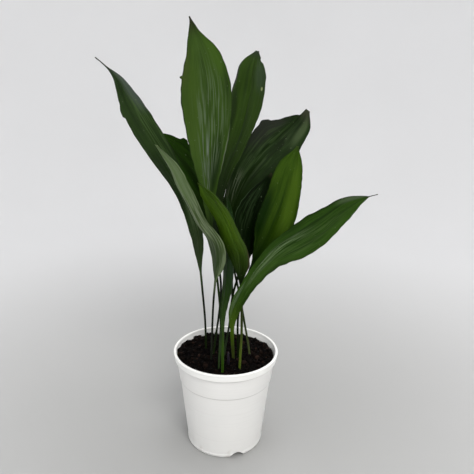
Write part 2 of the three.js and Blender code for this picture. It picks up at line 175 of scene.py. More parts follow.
THREAD_LENGTHS = 8.0
STRIPE_LENGTHS = 6.0
BANDS = 3.5
BAND_LENGTHS = 1.8
STALK_COLOUR_CHANGES = 0.12
STALK_COLOUR_ENDS = -0.12
UNEVEN_MARGIN = 0.0011
UNEVEN_MARGIN_STEPS = 26
TEAR_RISES_BY = 0.5
TEAR_ENDS_WITHIN = 0.08
OVAL_CORE = 0.3
LINE_BORDER = 0.14
MARGIN_FROM = 0.94
MARGIN_GREEN = (8, 16, 3)
SPECK_GREY = (110, 122, 96)
LEAF_SEED_STEP = 7.3

FRONT = (0, -1, 0)

# A new leaf, still rolled up
SHOOT_PLACE = (0.005, -0.035)
SHOOT_HEIGHT = 0.026
SHOOT_RADIUS = 0.0028
SHOOT_BURIED = 0.020
SHOOT_BLUNTNESS = 0.9
SHOOT_TIP_RADIUS = 0.0001
SHOOT_WINDING = 3.4
SHOOT_STEP = 0.12
SHEATH_STRETCH = (1, 1, 0.15)
SHEATH_PURPLES = (12, 8, 18), (30, 20, 36)
SHEATH_EARTH = (16, 11, 12)
SHEATH_EARTH_REACH = 0.008

# Studio
# The backdrop's grey darkens towards the plant: painted shade round the pot.
BACKDROP_SHADE_TO_PALE = (168, 168, 167), (237, 237, 238)
BACKDROP_SHADE_FADES = 0.08, 1.6
BACKDROP_CLOUDS = (170, 170, 168)
LIT_PLACE = (0, 0, 0.35)
SKY_TINT = (0.97, 0.985, 1.0, 1)
SKY_STRENGTH = 0.36

# Round lights that face the plant: where each is, its size, its power and its tint
LIGHTS = {
    "key": ((0.5, -1.7, 1.9), 1.3, 33, (1.0, 0.985, 0.96)),
    "fill": ((-1.9, -0.9, 1.3), 1.8, 5, (0.97, 0.99, 1.0)),
    "top": ((0.2, 0.1, 2.4), 1.4, 26, (1.0, 1.0, 1.0)),
}

# Camera of the photograph, with its focal length as a share of the picture's width
CAMERA_PLACE = (0.0163, -0.8472, 0.6365)
CAMERA_PITCH = math.radians(15.92)
CAMERA_ROLL = math.radians(1.12)
FOCAL_SHARE = 512 / 474

# Each leaf: where its stalk leaves the soil, and points along its midrib up to the tip. blade_from is
# the share of that line where the stalk ends. Lists run in equal steps from there to the tip: half
# widths, skew by which the right half is wider and the left one narrower, and turn of the upper side
# away from the front, in degrees. stalk_foot is the stalk's half width at its lower end. fold and
# curl raise the margins, in degrees, and ripple is the height of their waves. A last half width below
# zero ends the blade early, with a thin dried tip. tears are the torn places of the margins: the
# side, -1 left or 1 right, the shares of the blade where each begins and where it ends abruptly, and
# how far it stands out, or in if below zero.
# slot is the record's finish. Colours are as on a screen, 0 to 255: base, second and dark for the
# upper side and its veins, and foot up to foot_to; a foot darker than the blade is painted shade.
# Patches are soft and sheen_streaks are painted sheen broken up into lines, fewer of them where
# lines_from is higher. Each is a colour, its middle and its half size, both across the leaf, from -1
# at the left margin to 1, and along the blade, from 0 to 1, and its strength. Some patches are
# painted sheen and some painted shade, as noted at each leaf.
# stripes is how many lie across half a leaf. The stalk is stalk_low in the soil and stalk further up.
# PLAIN_LEAF holds where a leaf's own entry says nothing else.
PLAIN_LEAF = dict(
    stalk_foot=0.0018, skew=(0, 0), fold=8, curl=6, ripple=0.001, tears=[], slot="leaf_fresh_green",
    dark=(20, 36, 5), foot_to=0.5, tip=(34, 36, 20), tip_from=0.94, stalk=(24, 42, 6),
    stalk_low=(52, 68, 12), under=(50, 66, 32), under_line=(72, 86, 52), gloss=0.1, stripes=10.0,
    lines_from=0.62, patches=[], sheen_streaks=[],
)

LEAVES = {}
LEAVES["leaf_left_arching"] = dict(
    root=(-0.037, 0.016), blade_from=0.31, fold=7, ripple=0.0015, turn=(40, 52, 55, 50),
    skew=(-0.08, -0.12, -0.04, 0), tears=[(-1, 0.8, 0.742, 0.0045)],
    half_widths=(
        0.002, 0.0065, 0.0125, 0.015, 0.016, 0.018, 0.02, 0.0225, 0.0265, 0.0285, 0.029, 0.027, 0.0215,
        0.0125, 0.0026, 0.0012,
    ),
    midrib=[
        (-0.039, 0.016, 0.23), (-0.043, 0.015, 0.28), (-0.047, 0.014, 0.325), (-0.054, 0.009, 0.398),
        (-0.071, 0.006, 0.457), (-0.101, 0.002, 0.515), (-0.139, -0.002, 0.576), (-0.163, -0.003, 0.621),
        (-0.175, -0.004, 0.648), (-0.191, -0.004, 0.667), (-0.21, -0.006, 0.683),
    ],
    slot="leaf_deep_green", base=(22, 38, 9), second=(28, 46, 11), dark=(12, 25, 4), tip=(16, 12, 8),
    tip_from=0.9, foot=(48, 64, 34), foot_to=0.34, stalk=(12, 22, 5), stalk_low=(24, 38, 10),
    patches=[
        # The first patch is a painted sheen along the right margin near the tip.
        ((60, 68, 62), (0.75, 0.84), (0.75, 0.14), 0.85),
        ((14, 27, 4), (-0.6, 0.45), (0.8, 0.2), 0.7),
    ],
    sheen_streaks=[
        ((60, 80, 42), (0.45, 0.68), (0.7, 0.3), 0.6),
        ((92, 108, 78), (0.1, 0.3), (0.8, 0.22), 0.45),
    ],
)
LEAVES["leaf_pale_underside"] = dict(
    root=(-0.025, -0.02), blade_from=0.4, fold=10, curl=0, turn=(130, 125, 122),
    skew=(0.15, 0.15, 0.02, 0, 0),
    half_widths=(0.0019, 0.0165, 0.026, 0.023, 0.02, 0.022, 0.022, 0.017, 0.003),
    midrib=[
        (-0.022, -0.027, 0.277), (-0.018, -0.036, 0.332), (-0.015, -0.044, 0.366), (-0.02, -0.054, 0.399),
        (-0.04, -0.067, 0.433), (-0.055, -0.082, 0.466), (-0.067, -0.097, 0.496), (-0.077, -0.112, 0.525),
        (-0.098, -0.134, 0.563),
    ],
    slot="leaf_pale_green", base=(40, 58, 24), second=(48, 66, 30), under=(62, 79, 42),
    under_line=(108, 122, 90), tip=(92, 100, 66), foot=(40, 56, 26), foot_to=0.45, stalk=(14, 24, 5),
    stalk_low=(30, 34, 26), stripes=8.0,
    patches=[
        ((34, 50, 22), (0.4, 0.08), (1.5, 0.36), 0.8),
        # A painted sheen over the upper part of the blade.
        ((96, 116, 74), (0.0, 0.78), (1.5, 0.3), 0.85),
    ],
)
LEAVES["leaf_rear_left"] = dict(
    root=(0.044, -0.005), blade_from=0.42, ripple=0.0015, turn=(0, 0, 10),
    skew=(0, 0, 0, -0.02, -0.07, -0.13, -0.09, -0.045, 0), tears=[(1, 0.76, 0.815, 0.005)],
    half_widths=(0.0019, 0.009, 0.021, 0.03, 0.0345, 0.034, 0.029, 0.0153, 0.001),
    midrib=[
        (0.033, 0.012, 0.229), (0.018, 0.027, 0.3), (0, 0.04, 0.362), (-0.022, 0.049, 0.413),
        (-0.052, 0.057, 0.475), (-0.086, 0.063, 0.522), (-0.12, 0.066, 0.552), (-0.148, 0.066, 0.557),
    ],
    # The dark foot, reaching over most of the blade, is painted shade behind the leaves in front.
    slot="leaf_deep_green", base=(26, 52, 2), second=(32, 60, 3), dark=(12, 26, 1), foot=(5, 12, 2),
    foot_to=0.8, gloss=0.05, stalk=(22, 36, 8), stalk_low=(62, 70, 40),
)
LEAVES["leaf_tall_centre"] = dict(
    root=(-0.011, -0.044), blade_from=0.42, fold=7, curl=8, turn=(5, 0, 0),
    skew=(0, 0, 0, 0, 0, 0, 0, 0, -0.01, -0.02, -0.03, -0.02, 0, 0.06, -0.17, 0),
    tears=[(-1, 0.748, 0.764, 0.0035)],
    half_widths=(
        0.002, 0.0041, 0.007, 0.0105, 0.0157, 0.022, 0.028, 0.033, 0.037, 0.0399, 0.041, 0.0382, 0.0324,
        0.0223, 0.0094, 0.001,
    ),
    midrib=[
        (-0.009, -0.038, 0.256), (-0.015, -0.03, 0.321), (-0.025, -0.02, 0.386), (-0.031, -0.015, 0.45),
        (-0.033, -0.011, 0.519), (-0.034, -0.008, 0.602), (-0.038, -0.008, 0.66), (-0.051, -0.013, 0.713),
        (-0.062, -0.018, 0.743),
    ],
    base=(41, 63, 13), second=(48, 71, 18), dark=(26, 44, 6), tip=(34, 34, 18),
    tip_from=0.9, foot=(14, 28, 4), foot_to=0.22, stalk_low=(50, 70, 38), stripes=14.0,
    patches=[
        ((54, 80, 18), (0.68, 0.83), (0.45, 0.12), 0.85),
        ((50, 60, 20), (-0.95, 0.8), (0.35, 0.14), 0.7),
        ((50, 72, 12), (-0.6, 0.6), (0.55, 0.35), 0.6),
        # Painted shade low on the right half.
        ((18, 36, 4), (0.5, 0.34), (0.5, 0.22), 0.95),
        ((96, 108, 84), (0.97, 0.42), (0.06, 0.14), 0.8),
    ],
    sheen_streaks=[
        ((76, 92, 64), (0.15, 0.54), (0.9, 0.32), 0.8),
        ((94, 104, 92), (-0.1, 0.34), (0.5, 0.2), 0.9),
        ((60, 82, 36), (0.2, 0.8), (0.8, 0.16), 0.35),
    ],
)
LEAVES["leaf_upright_rear"] = dict(
    root=(-0.023, -0.002), blade_from=0.44, ripple=0.0015, turn=(-20, -35, -35),
    skew=(0, 0, 0, 0, 0, 0, -0.02, -0.02, -0.01, 0.01, 0.04, 0.01, -0.01, 0.08, 0, -0.1),
    tears=[(1, 0.93, 0.96, -0.003)],
    half_widths=(
        0.002, 0.0051, 0.0085, 0.0111, 0.0138, 0.0165, 0.0191, 0.022, 0.025, 0.028, 0.0305, 0.0332,
        0.0338, 0.031, 0.022, 0.0035,
    ),
    midrib=[
        (-0.012, 0.004, 0.265), (-0.011, 0.006, 0.307), (-0.021, 0.012, 0.38), (-0.019, 0.018, 0.45),
        (-0.008, 0.026, 0.501), (0.01, 0.036, 0.546), (0.025, 0.046, 0.592), (0.034, 0.054, 0.638),
        (0.037, 0.06, 0.674), (0.045, 0.066, 0.702),
    ],
    base=(36, 56, 9), second=(42, 64, 14), dark=(22, 40, 3), tip=(36, 46, 32),
    foot=(12, 26, 3), stalk=(10, 20, 3), stalk_low=(24, 38, 10),
    patches=[
        ((62, 60, 62), (-1.0, 0.86), (0.14, 0.13), 0.9),
        # Painted shadow of the tall centre leaf along the left margin, then painted shade over the lower
        # blade.
        ((14, 28, 3), (-0.78, 0.68), (0.3, 0.2), 0.7),
        ((10, 24, 2), (0.0, 0.25), (1.5, 0.5), 0.6),
        # A painted sheen by the tip on the right.
        ((50, 66, 44), (0.6, 0.87), (0.5, 0.12), 0.7),
        ((150, 160, 110), (0.76, 0.8), (0.09, 0.012), 0.9),
    ],
)
LEAVES["leaf_broad_right"] = dict(
    root=(0.013, 0.004), blade_from=0.44, ripple=0.002, turn=(0, -10, -10),
    skew=(-0.3, -0.3, -0.3, -0.15, 0, 0.1, 0.14, 0.08, 0.07, 0.21, 0.43, 0.95),
    tears=[(-1, 0.69, 0.775, 0.003), (-1, 0.93, 0.96, -0.003)],
    half_widths=(
        0.002, 0.007, 0.012, 0.017, 0.0245, 0.0325, 0.0375, 0.0415, 0.043, 0.0316, 0.0206, 0.0032,
    ),
    midrib=[
        (0.012, 0.01, 0.239), (0.009, 0.015, 0.301), (0.006, 0.022, 0.374), (0.005, 0.028, 0.414),
        (0.012, 0.034, 0.453), (0.03, 0.044, 0.495), (0.058, 0.06, 0.532), (0.09, 0.078, 0.56),
        (0.116, 0.092, 0.584), (0.138, 0.104, 0.607),
    ],
    slot="leaf_deep_green", base=(14, 30, 3), second=(20, 38, 5), dark=(7, 16, 1), tip=(44, 46, 34),
    tip_from=0.9, foot=(16, 30, 4), gloss=0.04, stalk=(16, 28, 5),
    patches=[
        # A painted sheen on the upper left.
        ((36, 38, 33), (-0.75, 0.72), (0.6, 0.22), 0.8),
        ((56, 70, 42), (0.6, 0.88), (0.3, 0.16), 0.8),
    ],
    sheen_streaks=[
        ((52, 70, 38), (-0.1, 0.62), (0.9, 0.36), 0.45),
        ((84, 92, 74), (-0.4, 0.34), (0.7, 0.14), 0.45),
    ],
)
LEAVES["leaf_bright_right"] = dict(
    root=(0.023, -0.017), blade_from=0.49, turn=(-10, -25, -30),
    skew=(0.35, 0.26, 0.14, 0.06, 0.05, 0.03, -0.02, -0.06, 0),
    half_widths=(0.002, 0.012, 0.026, 0.0315, 0.032, 0.0293, 0.0263, 0.0192, 0.002),
    midrib=[
        (0.021, -0.016, 0.254), (0.03, -0.016, 0.308), (0.048, -0.019, 0.365), (0.065, -0.021, 0.397),
        (0.079, -0.024, 0.432), (0.091, -0.027, 0.47), (0.099, -0.029, 0.508), (0.11, -0.026, 0.554),
    ],
    base=(40, 63, 6), second=(48, 72, 12), dark=(24, 46, 2), tip=(44, 62, 20),
    foot=(8, 26, 0), foot_to=0.42, gloss=0.05, stalk=(12, 22, 3), stalk_low=(18, 32, 6),
    patches=[
        # Painted shade over the left third and along the midrib's fold.
        ((6, 28, 1), (-0.8, 0.42), (0.5, 0.34), 0.9),
        ((22, 42, 2), (-0.05, 0.5), (0.07, 0.5), 0.5),
        ((68, 94, 22), (0.5, 0.62), (0.5, 0.38), 0.8),
    ],
)
LEAVES["leaf_low_right"] = dict(
    root=(0.014, -0.016), stalk_foot=0.0021, blade_from=0.2, fold=12, curl=4, ripple=0.002,
    turn=(0, -20, -20, -20),
    skew=(-0.1, -0.25, -0.26, -0.21, -0.12, -0.05, 0, 0, 0.05, 0.1, 0.03, -0.05, 0, 0, 0, 0),
    half_widths=(
        0.0033, 0.006, 0.0098, 0.0112, 0.0116, 0.013, 0.0145, 0.0175, 0.0215, 0.025, 0.0265, 0.025, 0.02,
        0.016, 0.006, -0.004,
    ),
    midrib=[
        (0.011, -0.03, 0.234), (0.015, -0.04, 0.268), (0.024, -0.051, 0.298), (0.038, -0.062, 0.331),
        (0.061, -0.074, 0.369), (0.086, -0.084, 0.398), (0.113, -0.093, 0.419), (0.14, -0.102, 0.44),
        (0.165, -0.11, 0.466), (0.183, -0.117, 0.482), (0.201, -0.121, 0.492), (0.217, -0.124, 0.498),
    ],
    base=(33, 58, 10), second=(41, 68, 14), dark=(14, 32, 3), stripes=26.0,
    lines_from=0.6, gloss=0.06, tip=(48, 42, 38), foot=(62, 86, 18), foot_to=0.25, stalk=(48, 70, 14),
    stalk_low=(58, 70, 28),
    patches=[
        ((22, 40, 6), (0.9, 0.35), (0.4, 0.3), 0.6),
        ((68, 80, 58), (-0.7, 0.92), (0.5, 0.1), 0.7),
        ((48, 76, 16), (0.4, 0.36), (0.6, 0.18), 0.5),
    ],
    sheen_streaks=[
        ((134, 152, 118), (-0.2, 0.48), (0.45, 0.28), 0.4),
        ((150, 162, 146), (-0.65, 0.2), (0.3, 0.13), 0.3),
        ((66, 88, 44), (0.2, 0.6), (0.9, 0.45), 0.4),
    ],
)
LEAVES["leaf_front_bent"] = dict(
    root=(0.025, -0.045), stalk_foot=0.002, blade_from=0.45, curl=4, turn=(-40, -45, -40),
    skew=(0, 0.05, 0.1, 0, 0),
    half_widths=(0.0024, 0.01, 0.023, 0.028, 0.025, 0.021, 0.018, 0.014, 0.001),
    midrib=[
        (0.027, -0.04, 0.235), (0.026, -0.033, 0.285), (0.024, -0.039, 0.325), (0.021, -0.054, 0.376),
        (0.009, -0.066, 0.412), (-0.004, -0.078, 0.448), (-0.021, -0.094, 0.479), (-0.035, -0.106, 0.499),
        (-0.042, -0.114, 0.507),
    ],
    base=(55, 82, 10), second=(63, 92, 15), dark=(34, 56, 3), tip=(54, 70, 16),
    foot=(14, 28, 3), stalk=(36, 46, 12), stalk_low=(84, 102, 34),
    patches=[
        ((60, 44, 40), (1.0, 0.28), (0.2, 0.16), 0.85),
        ((72, 100, 18), (0.4, 0.6), (0.5, 0.35), 0.6),
        ((26, 46, 3), (-0.9, 0.35), (0.4, 0.3), 0.6),
    ],
)
LEAVES["leaf_dark_middle"] = dict(
    root=(-0.003, -0.005), blade_from=0.49, turn=(0, -15, -15), skew=(0, 0, 0, 0, 0.01, 0.13, 0.4),
    half_widths=(0.0019, 0.009, 0.018, 0.025, 0.0242, 0.0161, 0.0024),
    midrib=[
        (0.006, -0.006, 0.236), (0.01, -0.006, 0.284), (0.02, -0.004, 0.327), (0.031, -0.001, 0.37),
        (0.034, 0.002, 0.415), (0.05, 0.008, 0.46), (0.072, 0.018, 0.504),
    ],
    # Its near-black greens are painted shade under the leaves above it.
    slot="leaf_deep_green", base=(5, 17, 1), second=(8, 22, 2), dark=(3, 9, 1), foot=(6, 13, 2),
    foot_to=0.2, gloss=0.03, stalk=(16, 26, 8), stalk_low=(48, 60, 40),
    # The patch is a painted highlight on the left margin.
    patches=[((66, 84, 58), (-1.0, 0.65), (0.07, 0.35), 0.9)],
    sheen_streaks=[((40, 56, 32), (-0.35, 0.66), (0.7, 0.36), 0.5)],
)
LEAVES["leaf_narrow_inner"] = dict(
    root=(-0.0035, -0.06), stalk_foot=0.0023, blade_from=0.3, fold=12, curl=0, ripple=0.0005,
    turn=(50, 60, 60), half_widths=(0.003, 0.011, 0.0175, 0.017, 0.013, 0.001),
    midrib=[
        (-0.004, -0.057, 0.238), (-0.0055, -0.051, 0.272), (-0.001, -0.04, 0.314), (0.001, -0.025, 0.372),
        (0.003, -0.02, 0.42), (-0.002, -0.018, 0.476),
    ],
    # Its dark blade greens, above and below, and the darker line down its middle are painted shade.
    slot="leaf_pale_green", base=(12, 34, 3), second=(16, 40, 6), under=(12, 32, 4),
    under_line=(22, 42, 12), foot=(36, 58, 12), stalk=(36, 60, 11), stalk_low=(42, 70, 13),
    patches=[((5, 14, 2), (0.0, 0.6), (0.12, 0.4), 0.8), ((32, 52, 30), (0.6, 0.6), (0.4, 0.35), 0.6)],
)


# Shader graphs

def shader_colour(colour):
    """A colour as it looks on a screen, 0 to 255, as the shader's own linear values."""
    if isinstance(colour, bpy.types.NodeSocket):
        return colour
    shares = [value / 255 for value in colour]
    linear = [s / 12.92 if s <= 0.04045 else ((s + 0.055) / 1.055) ** 2.4 for s in shares]
    return (*linear, 1.0)


class Graph:
    """One material's node tree, with short calls for the nodes that the finishes need."""

    def __init__(self, name):
        self.material = bpy.data.materials.new(name)
        self.material.use_nodes = True
        self.tree = self.material.node_tree
        self.shader = self.tree.nodes["Principled BSDF"]

    def put(self, socket, value):
        if isinstance(value, bpy.types.NodeSocket):
            self.tree.links.new(value, socket)
        else:
            socket.default_value = value

    def node(self, kind, inputs, output=0, **settings):
        made = self.tree.nodes.new(kind)
        for key, value in settings.items():
            setattr(made, key, value)
        for key, value in inputs.items():
            self.put(made.inputs[key], value)
        return made.outputs[output]

    def attribute(self, name):
        return self.node("ShaderNodeAttribute", {}, "Fac", attribute_name=name)

    def place(self):
        return self.node("ShaderNodeTexCoord", {}, "Object")

    def height(self):
        return self.node("ShaderNodeSeparateXYZ", {0: self.place()}, "Z")

    def maths(self, operation, first, second=0.0):
        return self.node("ShaderNodeMath", {0: first, 1: second}, operation=operation)

    def times(self, first, second):
        return self.maths("MULTIPLY", first, second)

    def band(self, value, start, end):
        """From 0 at start to 1 at end, smoothly. start may be the larger one."""
        inputs = {"Value": value, "From Min": start, "From Max": end}
        return self.node("ShaderNodeMapRange", inputs, interpolation_type="SMOOTHSTEP")

    def spread(self, value, low, high):
        """A value from 0 to 1 as one from low to high."""
        return self.node("ShaderNodeMapRange", {"Value": value, "To Min": low, "To Max": high})

    def vectors(self, operation, first, second=(0, 0, 0), output="Vector"):
        return self.node("ShaderNodeVectorMath", {0: first, 1: second}, output, operation=operation)

    def stretched(self, where, scale):
        return self.node("ShaderNodeMapping", {"Vector": where, "Scale": scale})

    def noise(self, where, scale, detail):
        return self.node("ShaderNodeTexNoise", {"Vector": where, "Scale": scale, "Detail": detail})

    def mix(self, share, first, second):
        """From the first colour to the second, each a socket or a colour as on a screen."""
        inputs = {0: share, 6: shader_colour(first), 7: shader_colour(second)}
        return self.node("ShaderNodeMix", inputs, 2, data_type="RGBA")

    def lay(self, share, colour, strength=1):
        """Lays a colour over the finish, as strong as strength where share is 1."""
        if strength != 1:
            share = self.times(share, strength)
        self.tint = self.mix(share, self.tint, colour)

    def bump(self, height, strength, distance):
        inputs = {"Height": height, "Strength": strength, "Distance": distance}
        self.put(self.shader.inputs["Normal"], self.node("ShaderNodeBump", inputs))

    def finish(self, **inputs):
        self.put(self.shader.inputs["Base Color"], self.tint)
        for key, value in inputs.items():
            self.put(self.shader.inputs[key.replace("_", " ")], value)
        return self.material


# Mesh helpers

def add_object(name, data):
    made = bpy.data.objects.new(name, data)
    bpy.context.scene.collection.objects.link(made)
    return made


def mesh_piece(name, points, faces, material, attributes=None):
    mesh = bpy.data.meshes.new(name)
    mesh.from_pydata([tuple(point) for point in points], [], faces)
    for key, values in (attributes or {}).items():
        mesh.attributes.new(key, "FLOAT", "POINT").data.foreach_set("value", values)
    mesh.shade_smooth()
    mesh.materials.append(material)
    return add_object(name, mesh)


def dress(piece, node):
    """The piece stands for the CAD node and moves with the plant."""
    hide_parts(node)
    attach(piece, "root")


def spokes(count):
    """The directions of as many spokes round +Z."""
    turns = [math.tau * spoke / count for spoke in range(count)]
    return [(math.cos(turn), math.sin(turn)) for turn in turns]


def turned(profile, count):
    """The profile turned round +Z: for each spoke, the line of its points."""
    return [[(r * x, r * y, z) for r, z in profile] for x, y in spokes(count)]


def round_body(lines, ends):
    """Points and faces of a body from one line of points for each spoke round it.

    The lines start round the first end and finish round the second, or stay open there without one.
    """
    rows = len(lines[0])
    points = [*ends, *(point for line in lines for point in line)]
    faces = []
    for spoke in range(len(lines)):
        here = len(ends) + spoke * rows
        there = len(ends) + (spoke + 1) % len(lines) * rows
        faces.append((0, there, here))
        faces.extend((here + k, there + k, there + k + 1, here + k + 1) for k in range(rows - 1))
        if len(ends) == 2:
            faces.append((1, here + rows - 1, there + rows - 1))
    return points, faces


# Pot

def softened(corners, steps=5):
    """An outline with its corners rounded. Each corner is a radius, a height and its rounding."""
    outline = [corners[0][:2]]
    for before, here, after in zip(corners, corners[1:], corners[2:]):
        place = Vector(here[:2])
        back = (Vector(before[:2]) - place).normalized() * here[2]
        onward = (Vector(after[:2]) - place).normalized() * here[2]
        for step in range(steps if here[2] else 1):
            share = step / (steps - 1)
            outline.append(tuple(place + back * (1 - share) ** 2 + onward * share**2))
    outline.append(corners[-1][:2])
    return outline


def rim_outline(steps=16):
    """The top of the rim, from its outer side to its inner one, a little squarer than a circle."""
    half = RIM_WIDTH / 2
    outline = []
    for step in range(steps + 1):
        turn = math.pi * step / steps
        across = math.copysign(abs(math.cos(turn)) ** (2 / RIM_SQUARENESS), math.cos(turn))
        rise = math.sin(turn) ** (2 / RIM_SQUARENESS)
        outline.append((RIM_RADIUS - half + half * across, POT_HEIGHT - half + half * rise))
    return outline


def pot_profile():
    """From under the foot over the rim to the floor inside.

    Each corner is its radius, its height and its rounding.
    """
    collar_top = POT_HEIGHT - RIM_WIDTH
    inner_rim = RIM_RADIUS - RIM_WIDTH
    floor_top = FLOOR_RAISE + WALL
    ring_inside = FOOT_RADIUS - FOOT_RING_WIDTH
    below_band = BAND_RADIUS - BAND_STEP
    slope = (below_band - FOOT_RADIUS) / (BAND_HEIGHT - FOOT_CORNER)
    at_groove = FOOT_RADIUS + slope * (FOOT_GROOVE[0][0] - FOOT_CORNER)
    outside = softened([
        (0, 0, 0),
        (PAD_RADIUS, 0, 0.0008),
        (PAD_RADIUS + PAD_SLOPE, FLOOR_RAISE, 0.0008),
        (ring_inside, FLOOR_RAISE, 0.0008),
        (ring_inside, 0, 0.0006),
        (FOOT_RADIUS - FOOT_TAPER, 0, FOOT_CORNER),
        *((at_groove - depth, height, rounding) for height, depth, rounding in FOOT_GROOVE),
        (below_band, BAND_HEIGHT - BAND_HALF_RISE, 0.0003),
        (BAND_RADIUS, BAND_HEIGHT + BAND_HALF_RISE, 0.0006),
        (NECK_RADIUS, NECK_HEIGHT, 0.004),
        (inner_rim + WALL / 2, collar_top, 0.0005),
        (COLLAR_FOOT_RADIUS - WALL / 2, collar_top, 0.0005),
        (COLLAR_FOOT_RADIUS - WALL, COLLAR_FOOT_HEIGHT, 0.0006),
        (COLLAR_FOOT_RADIUS, COLLAR_FOOT_HEIGHT, 0.0006),
        (COLLAR_FOOT_RADIUS + COLLAR_SPREAD, collar_top, 0.001),
        rim_outline()[0],
    ])
    inside = softened([
        rim_outline()[-1],
        (inner_rim, collar_top, 0.0015),
        (NECK_RADIUS - WALL, NECK_HEIGHT, 0.004),
        (below_band - WALL, BAND_HEIGHT, 0.004),
        (FOOT_RADIUS - WALL, floor_top + FLOOR_CORNER, 0.002),
        (FOOT_RADIUS - WALL - FLOOR_CORNER, floor_top, 0.002),
        (PAD_RADIUS, floor_top, 0.0008),
        (PAD_RADIUS - PAD_SLOPE, WALL, 0.0008),
        (0, WALL, 0),
    ])
    return outside[:-1] + rim_outline() + inside[1:]


def foot_cutters():
    """One mesh of every cut in the foot: the drain holes, and arches through the foot ring."""
    cutters = bmesh.new()
    for index in range(DRAIN_HOLES):
        turn = Matrix.Rotation(math.tau * index / DRAIN_HOLES, 4, "Z")
        place = turn @ Matrix.Translation((DRAIN_CIRCLE, 0, FLOOR_RAISE + WALL / 2))
        bmesh.ops.create_cone(cutters, cap_ends=True, segments=DRAIN_SEGMENTS, radius1=DRAIN_RADIUS,
                              radius2=DRAIN_RADIUS, depth=4 * WALL, matrix=place)
    arch = [(NOTCH_WIDTH / 2, -CUT_OVERRUN), (-NOTCH_WIDTH / 2, -CUT_OVERRUN)]
    for step in range(NOTCH_STEPS + 1):
        share = step / NOTCH_STEPS
        arch.append((NOTCH_WIDTH * (share - 0.5), NOTCH_HEIGHT * 4 * share * (1 - share)))
    for index in range(FOOT_NOTCHES):
        turn = Matrix.Rotation(math.radians(FIRST_NOTCH_ANGLE + index * 360 / FOOT_NOTCHES), 4, "Z")
        rings = []
        for radius in (FOOT_RADIUS - FOOT_RING_WIDTH - CUT_OVERRUN, FOOT_RADIUS + 2 * CUT_OVERRUN):
            rings.append([cutters.verts.new(turn @ Vector((radius, y, z))) for y, z in arch])
        inner, outer = rings
        cutters.faces.new(inner)
        cutters.faces.new(reversed(outer))
        for first in range(len(arch)):
            after = (first + 1) % len(arch)
            cutters.faces.new((inner[after], inner[first], outer[first], outer[after]))
    bmesh.ops.recalc_face_normals(cutters, faces=cutters.faces)
    mesh = bpy.data.meshes.new("foot_cutters")
    cutters.to_mesh(mesh)
    cutters.free()
    return add_object("foot_cutters", mesh)


def carve(piece, cutters):
    """Cuts the cutters out of the piece's mesh, and removes them."""
    modifier = piece.modifiers.new("cut", "BOOLEAN")
    modifier.operation = "DIFFERENCE"
    modifier.solver = "EXACT"
    modifier.object = cutters
    cut = bpy.data.meshes.new_from_object(
        piece.evaluated_get(bpy.context.evaluated_depsgraph_get()))
    piece.modifiers.clear()
    piece.data = cut
    bpy.data.objects.remove(cutters)


def white_plastic():
    """Satin white plastic with faint moulding lines, painted shade under the collar and along the band,
    and dirt near its foot.
    """
    graph = Graph("white_pot_plastic")
    place = graph.place()
    height = graph.height()
    graph.tint = graph.mix(graph.noise(place, scale=14, detail=3), *POT_WHITES)
    # Painted light: the collar's face is whiter than the rest of the pot.
    collar_lit = graph.band(height, COLLAR_FOOT_HEIGHT, COLLAR_FOOT_HEIGHT + COLLAR_LIGHT_REACH)
    graph.lay(collar_lit, COLLAR_PAINTED_LIGHT, 0.8)
    rings = graph.noise(graph.stretched(place, RING_STRETCH), scale=420, detail=3)
    graph.lay(graph.band(rings, 0.5, 0.75), RING_GREY, 0.1)
    # Painted shade under the collar's overhang and along the band's step.
    shade_under_collar = graph.times(
        graph.band(height, COLLAR_FOOT_HEIGHT - SHADE_REACH_UNDER_COLLAR, COLLAR_FOOT_HEIGHT),
        graph.band(height, COLLAR_FOOT_HEIGHT + SHADE_EDGE, COLLAR_FOOT_HEIGHT))
    from_band = graph.maths("ABSOLUTE", graph.maths("SUBTRACT", height, BAND_HEIGHT + BAND_HALF_RISE))
    shade_at_band = graph.band(from_band, 2 * SHADE_EDGE, SHADE_EDGE / 2)
    band_and_collar_shade = graph.maths("ADD", graph.times(shade_under_collar, 0.8), graph.times(shade_at_band, 0.4))
    graph.lay(band_and_collar_shade, PAINTED_SHADE_GREY)
    smudges = graph.band(graph.noise(place, scale=55, detail=5), 0.58, 0.75)
    dirt = graph.times(smudges, graph.band(height, DIRT_HEIGHT, 0.0))
    graph.lay(dirt, DIRT_BROWN, 0.35)
    scuffs = graph.noise(graph.stretched(place, SCUFF_STRETCH), scale=40, detail=4)
    graph.bump(graph.noise(place, scale=900, detail=2), strength=0.06, distance=0.0004)
    return graph.finish(Roughness=graph.spread(scuffs, 0.36, 0.56), IOR=1.49)


def make_pot():
    profile = pot_profile()
    ends = [(0, 0, profile[0][1]), (0, 0, profile[-1][1])]
    points, faces = round_body(turned(profile[1:-1], POT_SEGMENTS), ends)
    piece = mesh_piece("pot_moulded", points, faces, white_plastic())
    carve(piece, foot_cutters())
    piece.data.shade_smooth()
    piece.data.set_sharp_from_angle(angle=math.radians(SHARP_FROM_DEGREES))
    dress(piece, "pot")


# Soil

def soil_height(x, y):
    """The soil's level, heaped towards one side of the wall, with low hillocks all over."""
    direction = math.atan2(y, x)
    outward = math.hypot(x, y) / RIM_RADIUS
    heap = outward * (math.cos(direction - HEAP_DIRECTION) + math.cos(2 * direction))
    along_x, along_y = x / HILLOCK_SIZE, y / HILLOCK_SIZE
    hillocks = math.sin(along_x + math.sin(along_y / 2)) + math.sin(along_y - math.sin(along_x / 2))
    return SOIL_LEVEL + HEAP_HEIGHT * heap + HILLOCK_HEIGHT * hillocks


def crumbled_height(x, y):
    rough = noise.fractal(Vector((x, y, 0)) * CRUMBS_PER_METRE, *CRUMB_FRACTAL)
    fine = noise.noise(Vector((x, y, 0.3)) * GRAINS_PER_METRE)
    return soil_height(x, y) + CRUMB_HEIGHT * rough + GRAIN_HEIGHT * fine


